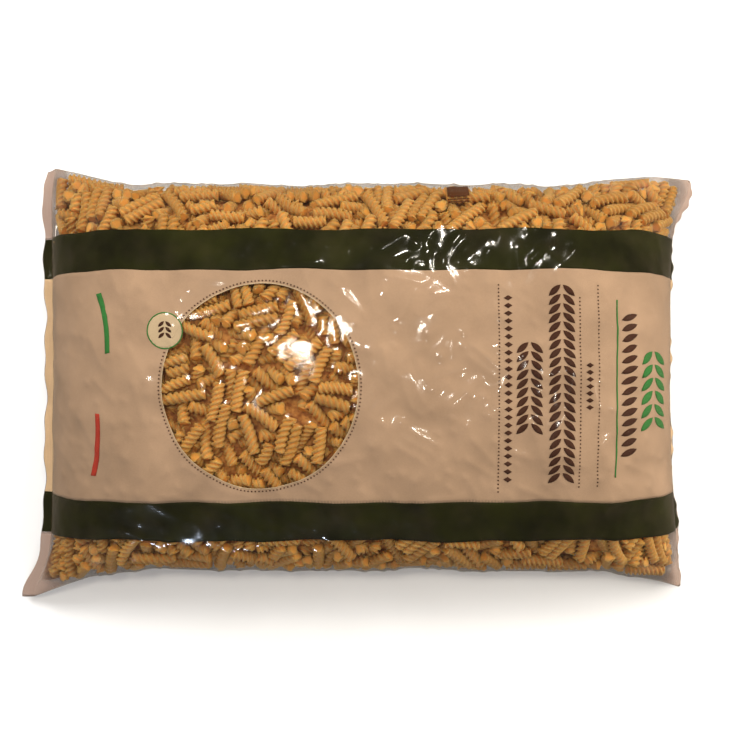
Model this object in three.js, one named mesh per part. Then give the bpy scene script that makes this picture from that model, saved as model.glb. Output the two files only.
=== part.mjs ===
// A large sealed pillow bag of dry spiral pasta, lying on its back on a flat surface.
//
// The bag is a tube of film. Its girth is the same everywhere: flat at the two crimped end
// seals, and drawn in to a plump, flat-bottomed section where the pasta fills it. The corners
// of the tube stay empty and stand out as ears. Millimetres, +Z up, +X along the bag.

import * as THREE from "three";

// The empty tube and its end seals.
const FLAT_WIDTH = 381; // half the girth of the tube
const BODY_LENGTH = 554; // between the inner edges of the two end seals
const SEAL_WIDTH = 11;
const SEAL_THICKNESS = 1.2;
const CRIMP_DEPTH = 0.35;

// The fill.
const FILL_HEIGHT = 112; // before the underside settles flat
const END_ROUND = 112; // length over which an end swells to the full height
const END_FULLNESS = 2.4;
const END_STEEPNESS = 0.72;
const WIDEST_LEVEL = 0.44; // height of the widest level, as a share of the fill height
const TOP_EXPONENT = 2.25; // superellipse exponents: 2 is an ellipse, more is squarer
const BASE_EXPONENT = 2.8;
const SETTLED_DEPTH = 3; // how much of the rounded underside the surface presses flat

// The ends: how high each seal lies, and the way its fin points.
const SEAL_HEIGHT = 22;
const UNDERSIDE_RISE = 62; // length over which the underside lifts towards a seal
const RISE_EXPONENT = 1.7;
const LEFT_FIN_DROOP = THREE.MathUtils.degToRad(18);
const RIGHT_FIN_DROOP = THREE.MathUtils.degToRad(62);
const SEAL_BOW = 4; // how far the fill draws the middle of a seal inwards
const SEAL_BOW_REACH = 60;
const SEAL_WAVE = 1.5;
const SEAL_WAVE_LENGTH = 74;

// The seam along the back, folded flat under the bag.
const SEAM_WIDTH = 14;
const SEAM_RELIEF = 0.6;
const SEAM_EDGE = 0.4;

// Soft relief: lumps of the fill everywhere, pleats that fan out from each seal. Counts are
// over the girth, and sways are in radians.
const LUMP_DEPTH = 1.5;
const LUMP_LENGTH = 107;
const LUMPS_ROUND = 8;
const LUMP_FADE = 40; // length over which the lumps grow from nothing at a seal
const ROW_SWAY = 1.7;
const ROW_SWAYS = 3;
const COLUMN_SWAY = 1.3;
const COLUMN_SWAY_LENGTH = 232;
const PLEAT_DEPTH = 1.7;
const PLEAT_START = 8; // where the pleats are full, inwards from a seal
const PLEAT_LENGTH = 42;
const PLEATS_ROUND = 22;
const PLEAT_SWAY = 0.8;
const PLEAT_SWAYS = 2;
const PLEAT_SWAY_LENGTH = 182;

// Each ear is a corner of the tube, pulled out by the given offset. The pull fades along the
// seal and along the side fold.
const EARS = [
  { end: -1, side: 1, pull: [2, -5, -9], reach: [22, 20] },
  { end: -1, side: -1, pull: [-21, -8, -11], reach: [27, 30] },
  { end: 1, side: 1, pull: [18, -16, -5], reach: [42, 34] },
  { end: 1, side: -1, pull: [8, 3, -6], reach: [90, 34] },
];

// The mesh.
const POINTS_AROUND = 72;
const FIN_STATIONS = 4;
const END_STATIONS = 14;
const MIDDLE_STATIONS = 20;
const ARC_SAMPLES = 360; // points of the fine outline that each section is measured on

const girth = 2 * FLAT_WIDTH;
const fullTurn = 2 * Math.PI;

// The bag's thickness at a distance inwards from a seal.
function thickness(inwards) {
  const share = THREE.MathUtils.clamp(inwards / END_ROUND, 0, 1);
  const swelling = (1 - (1 - share) ** END_FULLNESS) ** END_STEEPNESS;
  return SEAL_THICKNESS + (FILL_HEIGHT - SEAL_THICKNESS) * swelling;
}

// The fine outline of a section, from the middle of the top round by +Y: its points and the
// distance to each along the film.
function outline(halfWidth, height) {
  const above = (1 - WIDEST_LEVEL) * height;
  const below = WIDEST_LEVEL * height;
  const points = [];
  const distances = [0];
  for (let i = 0; i <= ARC_SAMPLES; i++) {
    const angle = fullTurn / 4 - (fullTurn * i) / ARC_SAMPLES;
    const up = Math.sin(angle);
    const out = Math.cos(angle);
    const power = 2 / (up >= 0 ? TOP_EXPONENT : BASE_EXPONENT);
    const y = halfWidth * Math.sign(out) * Math.abs(out) ** power;
    const z = (up >= 0 ? above : below) * Math.sign(up) * Math.abs(up) ** power;
    points.push([y, below + z]);
    if (i > 0) {
      const [yBefore, zBefore] = points[i - 1];
      distances.push(distances[i - 1] + Math.hypot(y - yBefore, below + z - zBefore));
    }
  }
  return { points, distances };
}

// The half width at which a section of this height uses up the whole girth.
function halfWidthFor(height) {
  let low = FLAT_WIDTH / 4;
  let high = FLAT_WIDTH / 2;
  for (let step = 0; step < 30; step++) {
    const middle = (low + high) / 2;
    if (outline(middle, height).distances[ARC_SAMPLES] < girth) low = middle;
    else high = middle;
  }
  return low;
}

// A function that gives the point of a section at a distance round the film.
function sectionAt(inwards) {
  const height = thickness(inwards);
  const { points, distances } = outline(halfWidthFor(height), height);
  const total = distances[ARC_SAMPLES];
  return (around) => {
    const wanted = (around / girth) * total;
    let i = 1;
    while (i < ARC_SAMPLES && distances[i] < wanted) i++;
    const part = (wanted - distances[i - 1]) / (distances[i] - distances[i - 1]);
    return [0, 1].map((k) => THREE.MathUtils.lerp(points[i - 1][k], points[i][k], part));
  };
}

// Lumps where the fill presses on the film: slow waves that cross each other. A whole number
// of them goes round the girth.
function lump(along, around) {
  const turn = (fullTurn * around) / girth;
  const rowSway = ROW_SWAY * Math.sin(ROW_SWAYS * turn);
  const columnSway = COLUMN_SWAY * Math.sin((fullTurn * along) / COLUMN_SWAY_LENGTH);
  const lengthways = Math.sin((fullTurn * along) / LUMP_LENGTH + rowSway);
  return LUMP_DEPTH * lengthways * Math.sin(LUMPS_ROUND * turn + columnSway);
}

// Pleats across the film, deepest just inside a seal.
function pleat(inwards, around) {
  const turn = (fullTurn * around) / girth;
  const fade = Math.exp(-inwards / PLEAT_LENGTH) * Math.min(inwards / PLEAT_START, 1);
  const travel = (fullTurn * inwards) / PLEAT_SWAY_LENGTH;
  const sway = PLEAT_SWAY * Math.sin(PLEAT_SWAYS * turn + travel);
  return PLEAT_DEPTH * fade * Math.sin(PLEATS_ROUND * turn + sway);
}

// How far the ears pull a point of the film.
function earPull(end, inwards, around) {
  const pulled = new THREE.Vector3();
  for (const ear of EARS.filter((e) => e.end === end)) {
    const fold = ear.side > 0 ? FLAT_WIDTH / 2 : (3 * FLAT_WIDTH) / 2;
    const alongSeal = (around - fold) / ear.reach[0];
    const alongFold = (inwards + SEAL_WIDTH) / ear.reach[1];
    const share = Math.exp(-(alongSeal ** 2) - alongFold ** 2);
    pulled.addScaledVector(new THREE.Vector3(...ear.pull), share);
  }
  return pulled;
}

// The fin beyond a seal's inner edge: outwards and down, with ribs pressed in by the jaws. It
// depends on y alone, so that both faces move alike.
function finOffset(end, beyond, y, station) {
  const wave = Math.sin((fullTurn * y) / SEAL_WAVE_LENGTH) * (beyond / SEAL_WIDTH);
  const droop = end < 0 ? LEFT_FIN_DROOP : RIGHT_FIN_DROOP;
  const rib = beyond > 0 && beyond < SEAL_WIDTH ? CRIMP_DEPTH * (-1) ** station : 0;
  return {
    out: beyond * Math.cos(droop) + SEAL_WAVE * wave * Math.sin(droop),
    up: -beyond * Math.sin(droop) + SEAL_WAVE * wave * Math.cos(droop) + rib,
  };
}

// The point of the film at a station and a distance round it. Stations are given by the end
// that they belong to and their distance inwards from that end's seal, less than 0 on the fin.
function filmPoint({ end, inwards, index, section }, around) {
  const beyond = Math.max(-inwards, 0);
  const inside = Math.max(inwards, 0);
  let [y, z] = section(around);

  const height = thickness(inside);
  const radial = new THREE.Vector2(y, (z - WIDEST_LEVEL * height) * 2).normalize();
  const lumps = lump(end * (BODY_LENGTH / 2 - inside), around) * Math.min(inside / LUMP_FADE, 1);
  const relief = lumps + pleat(inside, around);
  y += relief * radial.x;
  z += relief * radial.y;

  const rise = SEAL_HEIGHT * Math.max(1 - inside / UNDERSIDE_RISE, 0) ** RISE_EXPONENT;
  const fin = finOffset(end, beyond, y, index);
  const bow = SEAL_BOW * Math.cos((Math.PI * y) / FLAT_WIDTH) * Math.exp(-inside / SEAL_BOW_REACH);
  const x = end * (BODY_LENGTH / 2 - inside + fin.out - bow);
  z += rise + fin.up;

  const point = new THREE.Vector3(x, y, z).add(earPull(end, inwards, around));
  const onSeam = Math.abs(around - FLAT_WIDTH) <= SEAM_WIDTH / 2;
  const surface = SETTLED_DEPTH + (onSeam ? 0 : SEAM_RELIEF);
  point.z = Math.max(point.z - (onSeam ? SEAM_RELIEF : 0), surface) - SETTLED_DEPTH;
  return point;
}

// The stations, from the left fin's edge to the right fin's edge.
function stations() {
  const half = [];
  for (let i = FIN_STATIONS; i > 0; i--) half.push((-SEAL_WIDTH * i) / FIN_STATIONS);
  for (let i = 0; i < END_STATIONS; i++) half.push(END_ROUND * (i / END_STATIONS) ** 1.5);
  const middle = BODY_LENGTH / 2 - END_ROUND;
  for (let i = 0; i < MIDDLE_STATIONS / 2; i++) {
    half.push(END_ROUND + (2 * middle * i) / MIDDLE_STATIONS);
  }
  const made = half.map((inwards, index) => ({ inwards, index, section: sectionAt(inwards) }));
  const centre = { end: -1, inwards: BODY_LENGTH / 2, index: 0, section: sectionAt(BODY_LENGTH) };
  const left = made.map((station) => ({ ...station, end: -1 }));
  const right = made.map((station) => ({ ...station, end: 1 })).reverse();
  return [...left, centre, ...right];
}

// The distances round the film at which each section has its points: evenly spaced, with the
// two edges of the back seam put in.
function distancesRound() {
  const even = Array.from({ length: POINTS_AROUND }, (_, i) => (girth * i) / POINTS_AROUND);
  const clear = even.filter((d) => Math.abs(d - FLAT_WIDTH) > SEAM_WIDTH / 2 + SEAM_EDGE);
  const inner = SEAM_WIDTH / 2;
  const edges = [-inner - SEAM_EDGE, -inner, inner, inner + SEAM_EDGE].map((d) => FLAT_WIDTH + d);
  return [...clear, ...edges].sort((a, b) => a - b);
}

// One closed skin: rings of points joined from end to end, and each end ring zipped shut
// between its upper and its lower half.
function bagGeometry() {
  const rings = stations();
  const around = distancesRound();
  const count = around.length;
  const positions = rings.flatMap((ring) =>
    around.flatMap((distance) => filmPoint(ring, distance).toArray()),
  );
  const faces = [];
  for (let i = 0; i + 1 < rings.length; i++) {
    for (let j = 0; j < count; j++) {
      const a = i * count + j;
      const b = i * count + ((j + 1) % count);
      faces.push(a, b + count, b, a, a + count, b + count);
    }
  }
  const fold = around.findIndex((distance) => distance >= FLAT_WIDTH / 2);
  const zip = (first, end) => {
    const at = (steps) => first + ((fold + steps + count) % count);
    const add = (...face) => faces.push(...(end < 0 ? face : face.reverse()));
    let below = 1;
    let above = -1;
    add(at(0), at(below), at(above));
    while (below - above < count - 1) {
      add(at(above), at(below), at(below + 1));
      below++;
      if (below - above === count - 1) break;
      add(at(above), at(below), at(above - 1));
      above--;
    }
  };
  zip(0, -1);
  zip((rings.length - 1) * count, 1);

  const geometry = new THREE.BufferGeometry();
  geometry.setAttribute("position", new THREE.Float32BufferAttribute(positions, 3));
  geometry.setIndex(faces);
  geometry.computeBoundingBox();
  const { min, max } = geometry.boundingBox;
  geometry.translate(-(min.x + max.x) / 2, -(min.y + max.y) / 2, -min.z);
  geometry.computeVertexNormals();
  return geometry;
}

const film = new THREE.MeshStandardMaterial({ color: 0xc9a878, roughness: 0.35, metalness: 0 });
const bag = new THREE.Mesh(bagGeometry(), film);
bag.name = "bag";

const group = new THREE.Group();
group.add(bag);
export default group;
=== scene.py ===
"""A large clear film bag of dry spiral pasta: the film, its print and its contents.

The film is one closed skin. Its points have two film coordinates in millimetres: `along`, from
the bag's middle, and `around`, round the tube from the middle of the front, towards +Y. The
spirals are packed against the film from inside, the film is draped over them, and the print
lies just under it.
"""

import math

import bpy
import numpy as np
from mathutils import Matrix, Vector
from mathutils.geometry import delaunay_2d_cdt
from mathutils.kdtree import KDTree


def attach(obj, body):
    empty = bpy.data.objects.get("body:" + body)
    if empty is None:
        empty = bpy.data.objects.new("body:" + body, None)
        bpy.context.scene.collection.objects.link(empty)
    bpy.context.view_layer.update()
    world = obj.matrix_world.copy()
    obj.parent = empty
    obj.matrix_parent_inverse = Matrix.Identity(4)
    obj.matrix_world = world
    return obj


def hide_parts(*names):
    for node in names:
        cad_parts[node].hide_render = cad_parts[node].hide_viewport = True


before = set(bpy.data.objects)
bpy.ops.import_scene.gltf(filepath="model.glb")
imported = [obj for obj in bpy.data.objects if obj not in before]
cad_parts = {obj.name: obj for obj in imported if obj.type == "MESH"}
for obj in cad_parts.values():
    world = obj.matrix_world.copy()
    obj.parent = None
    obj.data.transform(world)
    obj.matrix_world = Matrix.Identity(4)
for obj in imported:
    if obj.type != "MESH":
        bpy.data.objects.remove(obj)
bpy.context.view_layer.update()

MM = 0.001
TURN = 2 * math.pi
rng = np.random.default_rng(5)

# The bag, in millimetres, as the solid has it.
FLAT_WIDTH = 381  # half the tube's girth
BODY_LENGTH = 554  # between the two end seals
SEAL_WIDTH = 11
FIN_THICKNESS = 1.2
FILL_HEIGHT = 112
END_ROUND = 112  # length over which an end swells to the full height
END_FULLNESS = 2.4
END_STEEPNESS = 0.72
WIDEST_LEVEL = 0.44
TOP_EXPONENT = 2.25
BASE_EXPONENT = 2.8
SETTLED_DEPTH = 3
SEAL_HEIGHT = 22
UNDERSIDE_RISE = 62
RISE_EXPONENT = 1.7
LEFT_FIN_DROOP = math.radians(18)
RIGHT_FIN_DROOP = math.radians(62)
SEAL_BOW = 4
SEAL_BOW_REACH = 60
SEAL_WAVE = 1.5
SEAL_WAVE_LENGTH = 74
LEFT_SCALLOP = (0.9, 36)  # how far a fin's edge waves, and the length of a wave
RIGHT_SCALLOP = (1.0, 16.5)
LUMP_DEPTH = 1.5
LUMP_LENGTH = 107
LUMPS_ROUND = 8
LUMP_FADE = 40
ROW_SWAY = 1.7
ROW_SWAYS = 3
COLUMN_SWAY = 1.3
COLUMN_SWAY_LENGTH = 232
PLEAT_DEPTH = 1.7
PLEAT_START = 8
PLEAT_LENGTH = 42
PLEATS_ROUND = 22
PLEAT_SWAY = 0.8
PLEAT_SWAYS = 2
PLEAT_SWAY_LENGTH = 182
# Each ear: its end, its side, how far it is pulled, and how far the pull reaches.
EARS = (
    (-1, 1, (2, -5, -9), (22, 20)),
    (-1, -1, (-21, -8, -11), (27, 30)),
    (1, 1, (18, -16, -5), (42, 34)),
    (1, -1, (8, 3, -6), (90, 34)),
)
SEAM_WIDTH = 14
SEAM_RELIEF = 0.6
SEAM_EDGE = 0.4
GIRTH = 2 * FLAT_WIDTH
HALF_BODY = BODY_LENGTH / 2
GIRTH_HALVINGS = 30  # steps of the search for a section's width

# The film's grid.
ARC_SAMPLES = 360
BODY_STEP = 2.6
COLUMNS = 300
CRIMP_PITCH = 1.6
CRIMP_DEPTH = 0.16
STEPS_A_CRIMP = 4

# The print. `around` is 0 at the middle of the front.
PRINT_MIDDLE = -7.4
PANEL_HALF = 94.5
BAND_WIDTH = 35.5
WINDOW_ALONG = -80
WINDOW_RADII = (78.5, 83)
WINDOW_POINTS = 200
# Each piece: its depth under the film's face, its colour, and how far its tone drifts.
PRINTS = {
    "panel": (0.5, (188, 157, 128), 0.1),
    # panel_ends: the seals' own pale print, painted lighter still to offset the shadow that the bag's
    # body casts on the left fin.
    "panel_ends": (0.5, (240, 204, 160), 0.1),
    # The bands' wide drift of tone is painted shade and painted reflection: the dark smudges and light
    # streaks of crumpled film.
    "band_upper": (0.5, (33, 35, 6), 0.5),
    "band_lower": (0.5, (33, 35, 6), 0.5),
    "pale_marks": (0.33, (212, 188, 152), 0.06),
    "green_marks": (0.2, (58, 128, 62), 0.12),
    "red_mark": (0.2, (190, 62, 46), 0.12),
    "brown_marks": (0.2, (72, 44, 32), 0.15),
    "side_block": (0.2, (92, 50, 20), 0.15),
}
PRINT_THICKNESS = 0.1
FIN_DEPTH_SHARE = 0.25  # of each depth, where the film's two layers meet
SEAL_EASE = 4.0  # length over which the depths change
FIN_REACH = HALF_BODY + SEAL_WIDTH - 0.4  # the print ends just short of a fin's edge
GRID_GAP = 0.8  # from a region's edge to the grid inside it
TRIANGLES, MERGED_GAP = 0, 1e-5  # the triangulation's output, and the gap that it closes

# The printed marks, in film coordinates.
RIM_WIDTH = 0.8
RING_GAP = 2.4  # from the window's edge to the ring of dots
DOT_RADIUS = 0.68
DOT_POINTS = 6
DOT_PITCH = 3.0
DOTTED_RULES = ((111, -93, 77), (176.5, -89, 66), (192, -88, 76))  # along, and its two ends
GREEN_RULE = ((208.5, -82), (208.5, 63))
GREEN_RULE_WIDTH = 1.3
GREEN_BAR = ((-214, 69), (-204, 19))
RED_BAR = ((-214, -29), (-220, -82))
BAR_WIDTH = 4.6
BAR_BOW = 2.5
BADGE_CENTRE = (-156, 37)
BADGE_RADIUS = 14.5
BADGE_RING = 0.9
BADGE_POINTS = 48
GRAIN_LEAN = math.radians(48)
GRAIN_POINTS = 7  # along a side
GRAIN_FULLNESS = 0.8
GRAIN_FOOT = 0.3  # of a pitch, before an ear's first grains
GRAIN_REACH = 0.6  # of a grain's length, from its foot to its middle
# Each ear of grain: its start, its end, and the length, width and pitch of its grains.
GREEN_EARS = (((246.5, 26), (246.5, -42), 17, 6.6, 11),)
BROWN_EARS = (
    ((161.7, 77), (161.7, -88), 13, 4.8, 7.2),
    ((135.5, 31), (135.5, -42), 13, 4.8, 7.2),
    ((-156, 46), (-156, 29), 6.5, 2.6, 4.4),
)
# Each row of diamonds: its place along, its two ends, a diamond's radii, and the pitch.
DIAMOND_ROWS = ((118.5, -83, 70, (3.4, 2.2), 6.4), (184, -24, 11, (3.2, 2.0), 5.6))
# The row of slanted grains: its place along, its ends and pitch, a grain's slant and its size.
GRAIN_ROW = (220.5, (-62, 51, 8.5), math.radians(20), (17, 5.6))
SIDE_BLOCK = ((72, 156), (90, 172))  # the printed block on the clear upper side
SIDE_LINES = (152.5, 149.5)
SIDE_LINE_WIDTH = 1.4

# The spirals.
SPIRAL_RADIUS = 5.4
SPIRAL_LEAD = 14.0
SPIRALS = 2450
SPIRAL_LENGTHS = (29, 39)
SHORT_SHARE = 0.1
SHORT_LENGTHS = (15, 24)
PACKED_GAP = 8.6  # between the axes of touching spirals, whose blades mesh
FLAT_LEAN = 0.75  # of a spiral's first lean towards the film, taken away
MOST_BEND = 2.2  # of a spiral's ends, to a side
CUT_REACH = 1.5  # of a spiral past the ends of its axis
LAYER_DEPTH = 20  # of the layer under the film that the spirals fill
SPOTS_TRIED = 4000  # at once
RELAX_STEPS = 120
PAIR_STEPS = 5  # between two searches for the pairs that may touch
PUSH_SHARE = 0.45  # of an overlap, by which each of a pair moves in a step
PULL_IN = 2.5  # the most that an end moves in from the film in a step
DRAWS_OUT = (0.15, 0.05)  # the most that it moves out, early and late
LATE_FROM = 0.6  # of all steps
WALL_GAP = 1.1  # between the film's smooth form and a spiral's blades
KEPT_SLACK = 0.4  # how far out of its place a spiral may end up
LEAST_HEIGHT = 0.3  # of a spiral above the floor


# The film's shape.

def thickness(inwards):
    """The bag's thickness at a distance inwards from a seal."""
    share = np.clip(inwards / END_ROUND, 0, 1)
    swelling = (1 - (1 - share) ** END_FULLNESS) ** END_STEEPNESS
    return FIN_THICKNESS + (FILL_HEIGHT - FIN_THICKNESS) * swelling


def outline(half_width, height):
    """Points round each section from the middle of the top, and the distance to each."""
    angle = TURN / 4 - TURN * np.arange(ARC_SAMPLES + 1) / ARC_SAMPLES
    up, out = np.sin(angle), np.cos(angle)
    power = 2 / np.where(up >= 0, TOP_EXPONENT, BASE_EXPONENT)
    reach = np.where(up >= 0, 1 - WIDEST_LEVEL, WIDEST_LEVEL)
    y = half_width[:, None] * np.sign(out) * np.abs(out) ** power
    z = height[:, None] * (WIDEST_LEVEL + reach * np.sign(up) * np.abs(up) ** power)
    steps = np.hypot(np.diff(y, axis=1), np.diff(z, axis=1))
    distance = np.concatenate([np.zeros((len(y), 1)), np.cumsum(steps, axis=1)], axis=1)
    return y, z, distance


def sections(inwards, around):
    """The y and z of every section: each uses up the whole girth."""
    height = thickness(inwards)
    low = np.full(len(height), FLAT_WIDTH / 4)
    high = np.full(len(height), FLAT_WIDTH / 2)
    for _ in range(GIRTH_HALVINGS):
        middle = (low + high) / 2
        short = outline(middle, height)[2][:, -1] < GIRTH
        low, high = np.where(short, middle, low), np.where(short, high, middle)
    y, z, distance = outline(low, height)
    share = around / GIRTH
    ys = [np.interp(share * d[-1], d, row) for d, row in zip(distance, y)]
    zs = [np.interp(share * d[-1], d, row) for d, row in zip(distance, z)]
    return np.stack(ys), np.stack(zs)


def soft_relief(end, inside, around):
    """Lumps of the fill everywhere, and pleats that fan out from each seal."""
    turn = TURN * around / GIRTH
    travel = end * (HALF_BODY - inside)
    row_sway = ROW_SWAY * np.sin(ROW_SWAYS * turn)
    column_sway = COLUMN_SWAY * np.sin(TURN * travel / COLUMN_SWAY_LENGTH)
    lengthways = np.sin(TURN * travel / LUMP_LENGTH + row_sway)
    lumps = LUMP_DEPTH * lengthways * np.sin(LUMPS_ROUND * turn + column_sway)
    fade = np.exp(-inside / PLEAT_LENGTH) * np.minimum(inside / PLEAT_START, 1)
    sway = PLEAT_SWAY * np.sin(PLEAT_SWAYS * turn + TURN * inside / PLEAT_SWAY_LENGTH)
    pleats = PLEAT_DEPTH * fade * np.sin(PLEATS_ROUND * turn + sway)
    return lumps * np.minimum(inside / LUMP_FADE, 1) + pleats


def fin(end, beyond, y):
    """How far a point of a fin lies out and up from its seal's inner edge."""
    droop = np.where(end < 0, LEFT_FIN_DROOP, RIGHT_FIN_DROOP)
    wave = SEAL_WAVE * np.sin(TURN * y / SEAL_WAVE_LENGTH) * beyond / SEAL_WIDTH
    depth, length = (np.where(end < 0, *pair) for pair in zip(LEFT_SCALLOP, RIGHT_SCALLOP))
    scallop = depth * (np.cos(TURN * y / length) - 1) * (beyond / SEAL_WIDTH) ** 2
    edge = np.clip((SEAL_WIDTH - beyond) / CRIMP_PITCH, 0, 1) * np.clip(beyond / CRIMP_PITCH, 0, 1)
    rib = CRIMP_DEPTH * np.sin(TURN * beyond / CRIMP_PITCH) * edge
    out = beyond * np.cos(droop) + wave * np.sin(droop) + scallop
    up = -beyond * np.sin(droop) + wave * np.cos(droop) + rib
    return out, up


def full_bag(along, around):
    """Points (stations, columns, 3) of the bag as a smooth full form."""
    end = np.where(along < 0, -1, 1)[:, None]
    inwards = (HALF_BODY - np.abs(along))[:, None]
    inside, beyond = np.maximum(inwards, 0), np.maximum(-inwards, 0)
    y, z = sections(inwards[:, 0], around)
    relief = soft_relief(end, inside, around[None, :])
    over = (z - WIDEST_LEVEL * thickness(inside)) * 2
    size = np.hypot(y, over)
    y, z = y + relief * y / size, z + relief * over / size

    out, up = fin(end, beyond, y)
    bow = SEAL_BOW * np.cos(math.pi * y / FLAT_WIDTH) * np.exp(-inside / SEAL_BOW_REACH)
    x = end * (HALF_BODY - inside + out - bow)
    z = z + SEAL_HEIGHT * np.maximum(1 - inside / UNDERSIDE_RISE, 0) ** RISE_EXPONENT + up
    points = np.stack([x, y, z], axis=2)
    for ear_end, side, pull, reach in EARS:
        fold = FLAT_WIDTH * (0.5 if side > 0 else 1.5)
        along_seal = (around[None, :] - fold) / reach[0]
        along_fold = (inwards + SEAL_WIDTH) / reach[1]
        share = np.where(end == ear_end, np.exp(-(along_seal**2) - along_fold**2), 0)
        points = points + share[:, :, None] * np.array(pull, float)
    return points


def stations():
    """Positions along the bag, closer together on the crimped fins."""
    crimps = int(SEAL_WIDTH / CRIMP_PITCH * STEPS_A_CRIMP)
    out = HALF_BODY + SEAL_WIDTH * np.arange(1, crimps + 1) / crimps
    body = np.linspace(-HALF_BODY, HALF_BODY, int(BODY_LENGTH / BODY_STEP) + 1)
    return np.concatenate([-out[::-1], body, out])


def columns():
    """Distances round the film, with the two edges of the back seam put in."""
    even = GIRTH * np.arange(COLUMNS) / COLUMNS
    inner, outer = SEAM_WIDTH / 2, SEAM_WIDTH / 2 + SEAM_EDGE
    clear = even[np.abs(even - FLAT_WIDTH) > outer + SEAM_EDGE]
    edges = FLAT_WIDTH + np.array([-outer, -inner, inner, outer])
    return np.sort(np.concatenate([clear, edges]))


def from_front(around, middle=0.0):
    """Signed distances round the tube, from the middle of the front or another place."""
    return np.mod(around - middle + FLAT_WIDTH, GIRTH) - FLAT_WIDTH


def search_tree(points):
    """A tree that finds the nearest of many points."""
    tree = KDTree(len(points))
    for index, point in enumerate(points):
        tree.insert(point, index)
    tree.balance()
    return tree


class Film:
    """A grid of points over `along` and `around`, which closes on itself round the tube."""

    def __init__(self, along, around, points):
        self.along = along
        self.around = around
        self.points = points
        self.normals = self.outward()

    def outward(self):
        """The outward normal of one millimetre at every point."""
        lengthways = np.gradient(self.points, axis=0)
        roundways = np.roll(self.points, -1, axis=1) - np.roll(self.points, 1, axis=1)
        normal = np.cross(lengthways, roundways)
        size = np.linalg.norm(normal, axis=2, keepdims=True)
        return normal / np.maximum(size, 1e-9)

    def sample(self, values, along, around):
        """Values at film coordinates, between the four grid points round each."""
        rows, count = len(self.along), len(self.around)
        i = np.interp(along, self.along, np.arange(rows))
        ring = np.concatenate([self.around, [self.around[0] + GIRTH]])
        j = np.interp(np.mod(around, GIRTH), ring, np.arange(count + 1))
        i0 = np.minimum(i.astype(int), rows - 2)
        j0 = j.astype(int) % count
        j1 = (j0 + 1) % count
        fi, fj = (i - i0)[:, None], (j - np.floor(j))[:, None]
        near = values[i0, j0] * (1 - fj) + values[i0, j1] * fj
        far = values[i0 + 1, j0] * (1 - fj) + values[i0 + 1, j1] * fj
        return near * (1 - fi) + far * fi

    def place(self, along, around, depth):
        """Points under the film at film coordinates."""
        ease = (HALF_BODY - SEAL_EASE, HALF_BODY)
        depth = depth * np.interp(np.abs(along), ease, (1, FIN_DEPTH_SHARE))
        normal = self.sample(self.normals, along, around)
        return self.sample(self.points, along, around) - normal * depth[:, None]

    def at(self, spot):
        """The point and the normal at one spot."""
        along, around = np.array([spot], float).T
        return self.place(along, around, 0)[0], self.sample(self.normals, along, around)[0]


def rest_on_floor(points, around):
    """The smooth form recentred like the solid, with its underside pressed flat."""
    on_seam = np.abs(around - FLAT_WIDTH) <= SEAM_WIDTH / 2
    surface = SETTLED_DEPTH + np.where(on_seam, 0, SEAM_RELIEF)
    low_side = points[:, :, 2] - np.where(on_seam, SEAM_RELIEF, 0)
    points[:, :, 2] = np.maximum(low_side, surface) - SETTLED_DEPTH
    flat = points.reshape(-1, 3)
    middle = (flat.min(axis=0) + flat.max(axis=0)) / 2
    return points - np.array([middle[0], middle[1], 0])


# The spirals' places.

def dot(first, second):
    """The dot product of each vector with its partner."""
    return np.einsum("ij,ij->i", first, second)


class Room:
    """Distances to the film, over a box of cells: negative inside the bag."""

    CELL = 5.0
    SEAL_CLEARANCE = 4.0  # how near to a seal the room ends

    def __init__(self, film):
        flat = film.points.reshape(-1, 3)
        normals = film.normals.reshape(-1, 3)
        self.tree = search_tree(flat)
        self.low = flat.min(axis=0) - self.CELL
        self.shape = np.ceil((flat.max(axis=0) + self.CELL - self.low) / self.CELL).astype(int) + 1
        cells = np.stack(np.meshgrid(*[np.arange(n) for n in self.shape], indexing="ij"), axis=-1)
        spots = self.low + cells.reshape(-1, 3) * self.CELL
        nearest, distance = np.array([self.tree.find(spot)[1:] for spot in spots]).T
        nearest = nearest.astype(int)
        side = dot(spots - flat[nearest], normals[nearest])
        station = film.along[nearest // len(film.around)]
        outside = (side > 0) | (np.abs(station) > HALF_BODY - self.SEAL_CLEARANCE) | (spots[:, 2] <= 0)
        self.distance = (np.where(outside, 1, -1) * distance).reshape(self.shape)
        self.slope = np.stack(np.gradient(self.distance, self.CELL), axis=-1)

    def look(self, spots):
        """The distance and the outward direction at each spot."""
        place = np.clip((spots - self.low) / self.CELL, 0, self.shape - 1.001)
        low = place.astype(int)
        share = place - low
        distance, slope = 0, 0
        for corner in np.ndindex(2, 2, 2):
            weight = np.prod(np.where(corner, share, 1 - share), axis=1)
            x, y, z = (low + corner).T
            distance = distance + weight * self.distance[x, y, z]
            slope = slope + weight[:, None] * self.slope[x, y, z]
        return distance, slope / np.maximum(np.linalg.norm(slope, axis=1, keepdims=True), 1e-6)


def closest_on_pairs(a, b, first, second):
    """Shares along two sets of segments at which each pair comes closest, and the gap."""
    p, q = a[first], a[second]
    u, w = b[first] - p, b[second] - q
    r = p - q
    uu, ww, uw, ur, wr = dot(u, u), dot(w, w), dot(u, w), dot(u, r), dot(w, r)
    spread = np.maximum(uu * ww - uw * uw, 1e-6)
    s = np.clip((uw * wr - ur * ww) / spread, 0, 1)
    t = np.clip((uw * s + wr) / ww, 0, 1)
    s = np.clip((uw * t - ur) / uu, 0, 1)
    return s, t, r + u * s[:, None] - w * t[:, None]


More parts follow.
